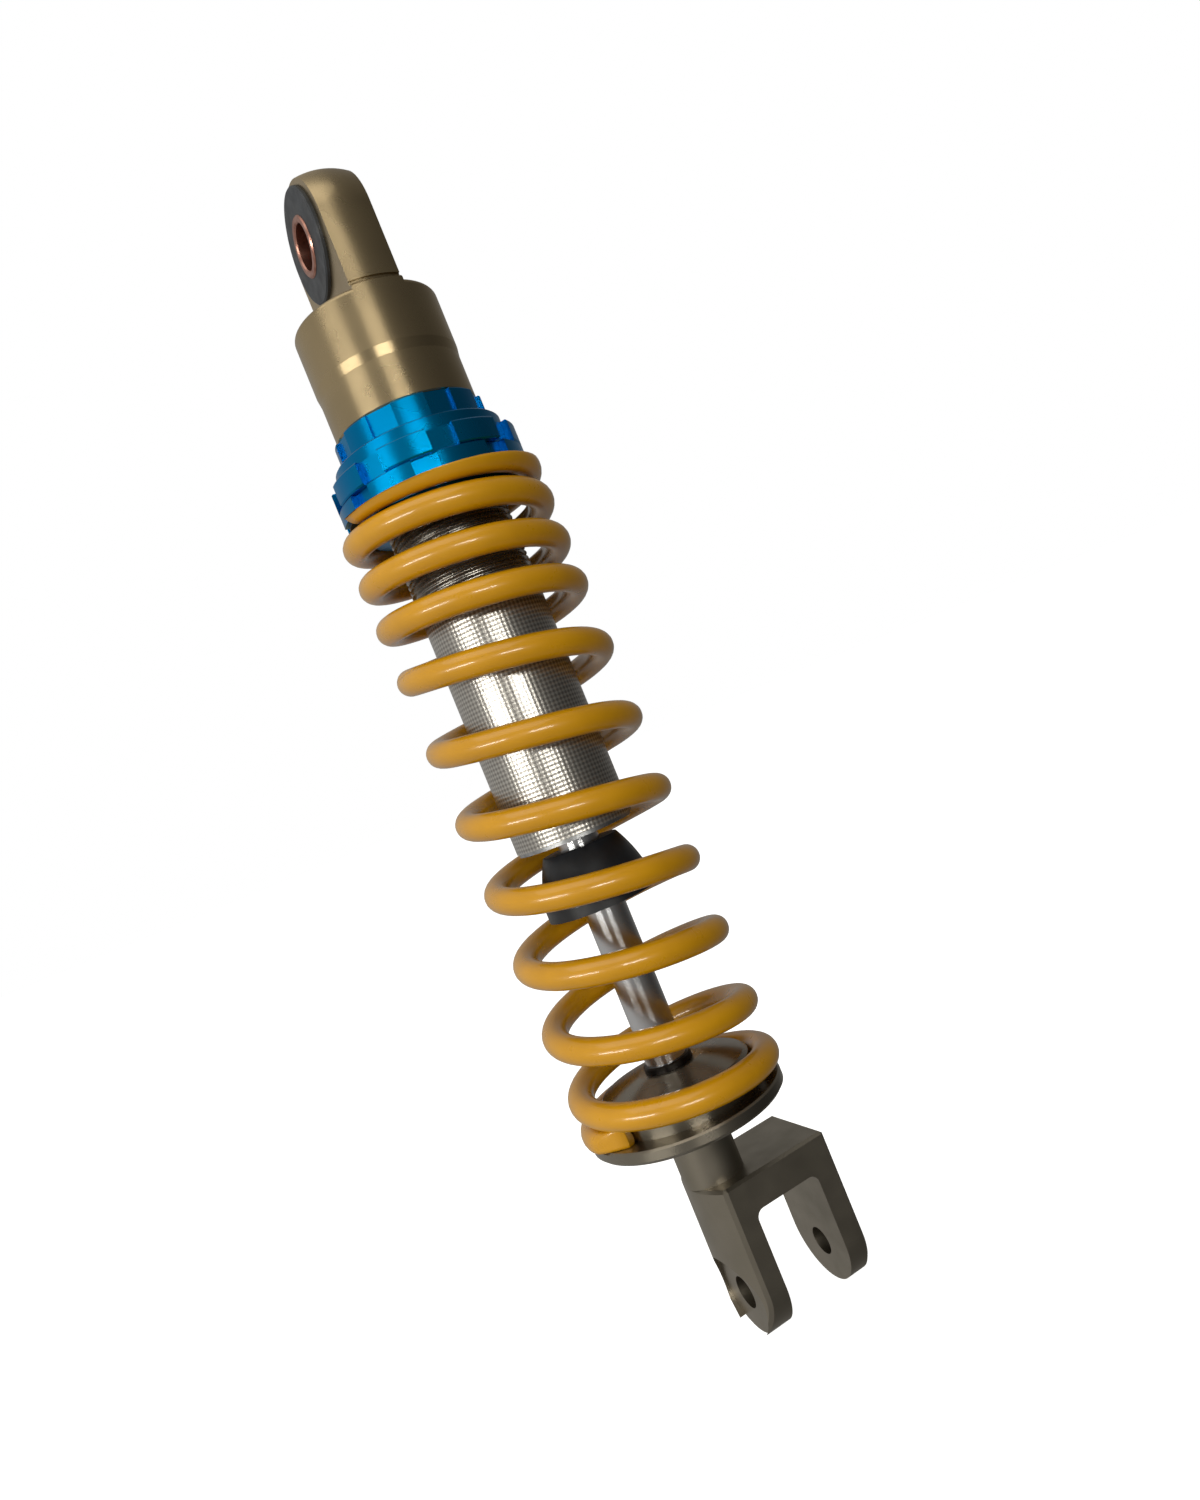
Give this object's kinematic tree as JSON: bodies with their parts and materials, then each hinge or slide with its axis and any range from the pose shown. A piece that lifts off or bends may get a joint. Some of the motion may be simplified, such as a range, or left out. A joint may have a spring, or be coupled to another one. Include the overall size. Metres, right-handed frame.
{
  "type": "rear coil-over shock absorber",
  "caption": "Rear coil-over shock absorber with a rubber-bushed upper eye, threaded preload rings, progressive coil spring, bump stop and offset lower clevis.",
  "frame": {"origin": "centre of the upper eye's bore", "axes": "+Z along the damper axis from the lower clevis towards the upper eye, X along both mounting bolts, with the clevis's gap offset towards +X"},
  "size_m": [0.0595, 0.0594, 0.3377],
  "materials": {
    "gold_anodised": "champagne gold anodised, satin turned",
    "blue_anodised": "bright blue anodised, satin turned",
    "grey_anodised": "titanium grey anodised, satin",
    "bare_aluminium": "machined",
    "bare_tube": "machined thread, bright",
    "weave_film": "silver film with a fine woven pattern",
    "yellow_powder_coat": "glossy yellow powder coat",
    "chrome_rod": "hard chrome, ground",
    "copper_plated_steel": "copper-toned plated steel",
    "black_rubber": "moulded rubber",
    "bump_rubber": "moulded rubber",
    "seal_rubber": "moulded nitrile",
    "spring_steel": "blued spring steel",
    "zinc_steel": "zinc plated",
    "black_steel": "black oxide",
    "black_nylon": "moulded nylon",
    "sintered_iron": "sintered iron",
    "ptfe_band": "bronze filled PTFE",
    "bronze": "bronze backed bearing"
  },
  "bodies": {
    "damper_body": {"head": "gold_anodised", "eye_bush": "black_rubber", "damper_tube": "bare_tube", "tube_o_ring": "seal_rubber", "tube_film": "weave_film", "rod_gland": "bare_aluminium", "gland_o_ring": "seal_rubber", "guide_bush": "bronze", "rod_seal": "seal_rubber", "rod_wiper": "seal_rubber", "circlip": "spring_steel", "end_cap": "zinc_steel", "coil_spring": "yellow_powder_coat"},
    "upper_sleeve": {"eye_sleeve": "copper_plated_steel"},
    "floating_piston": {"gas_piston": "bare_aluminium", "gas_piston_o_ring": "seal_rubber"},
    "preload_carrier": {"thrust_washer": "black_nylon"},
    "preload_adjuster": {"preload_ring": "blue_anodised"},
    "preload_lock": {"lock_ring": "blue_anodised"},
    "spring_seat": {"lower_seat": "grey_anodised"},
    "rod_assembly": {"piston_rod": "chrome_rod", "top_out_bumper": "seal_rubber", "rebound_shims": "spring_steel", "compression_shims": "spring_steel", "damper_piston": "sintered_iron", "piston_band": "ptfe_band", "valve_washer": "zinc_steel", "piston_nut": "zinc_steel", "rod_collar": "black_steel", "clevis": "grey_anodised"},
    "bumper": {"bump_stop": "bump_rubber"}
  },
  "joints": [
    {"name": "stroke", "type": "slide", "parent": "damper_body", "child": "spring_seat", "axis": [0, 0, 1], "range_m": [0, 0.048], "stiffness_N_per_m": 25000, "springref_m": -0.01, "deforming": ["coil_spring"]},
    {"name": "clevis_swivel", "type": "hinge", "parent": "spring_seat", "child": "rod_assembly", "pos_m": [0, 0, -0.2596], "axis": [0, 0, 1], "continuous": true},
    {"name": "bump_stop_slide", "type": "slide", "parent": "rod_assembly", "child": "bumper", "axis": [0, 0, -1], "range_m": [0, 0.0456]},
    {"name": "gas_piston_slide", "type": "slide", "parent": "damper_body", "child": "floating_piston", "axis": [0, 0, 1], "range_m": [0, 0.00882]},
    {"name": "eye_sleeve_twist", "type": "hinge", "parent": "damper_body", "child": "upper_sleeve", "pos_m": [0, 0, 0], "axis": [1, 0, 0], "range_deg": [-15, 15], "stiffness_Nm_per_rad": 6},
    {"name": "preload_travel", "type": "slide", "parent": "damper_body", "child": "preload_carrier", "axis": [0, 0, -1], "range_m": [0, 0.008]},
    {"name": "preload_ring_turn", "type": "hinge", "parent": "preload_carrier", "child": "preload_adjuster", "pos_m": [0, 0, -0.072], "axis": [0, 0, -1], "range_deg": [0, 1920]},
    {"name": "lock_ring_turn", "type": "hinge", "parent": "preload_carrier", "child": "preload_lock", "pos_m": [0, 0, -0.0719], "axis": [0, 0, -1], "range_deg": [0, 1920]}
  ],
  "couplings": [
    {"joint": "bump_stop_slide", "follows": "stroke", "ratio": 0.95},
    {"joint": "gas_piston_slide", "follows": "stroke", "ratio": 0.18367},
    {"joint": "preload_ring_turn", "follows": "preload_travel", "rad_per_m": 4188.8},
    {"joint": "lock_ring_turn", "follows": "preload_travel", "rad_per_m": 4188.8}
  ]
}
